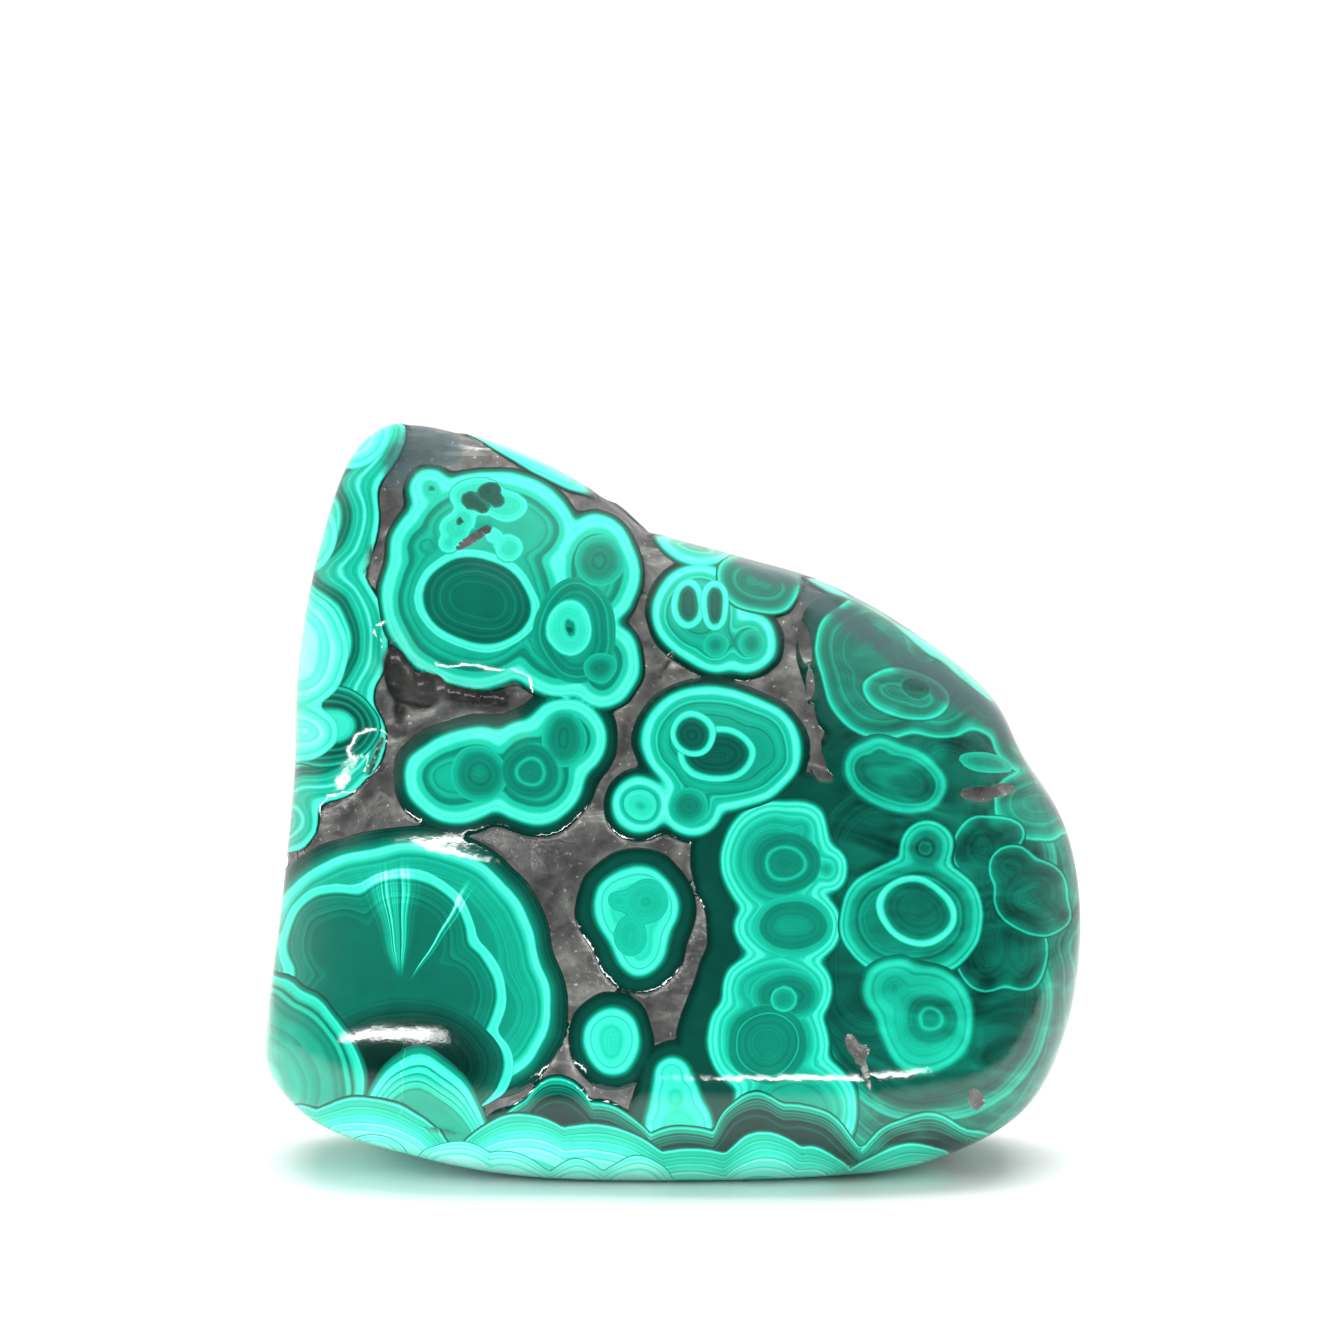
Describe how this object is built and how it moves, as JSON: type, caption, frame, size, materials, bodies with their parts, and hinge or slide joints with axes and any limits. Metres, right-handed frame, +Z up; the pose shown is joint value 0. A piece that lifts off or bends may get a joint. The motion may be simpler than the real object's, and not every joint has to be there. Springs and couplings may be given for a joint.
{
  "type": "malachite freeform",
  "caption": "Polished freeform of banded green malachite with ringed cells in a dark matrix, cut flat underneath so that it stands upright on a shelf or desk.",
  "frame": {"origin": "Middle of the box's underside, on the surface that the stone stands on", "axes": "+X across the broad face, to the right as the picture shows it; +Y from the front face to the back; +Z up"},
  "size_m": [0.0822, 0.0354, 0.0746],
  "materials": {
    "polished_malachite": null
  },
  "bodies": {
    "root": {"malachite_stone": "polished_malachite"}
  },
  "joints": []
}
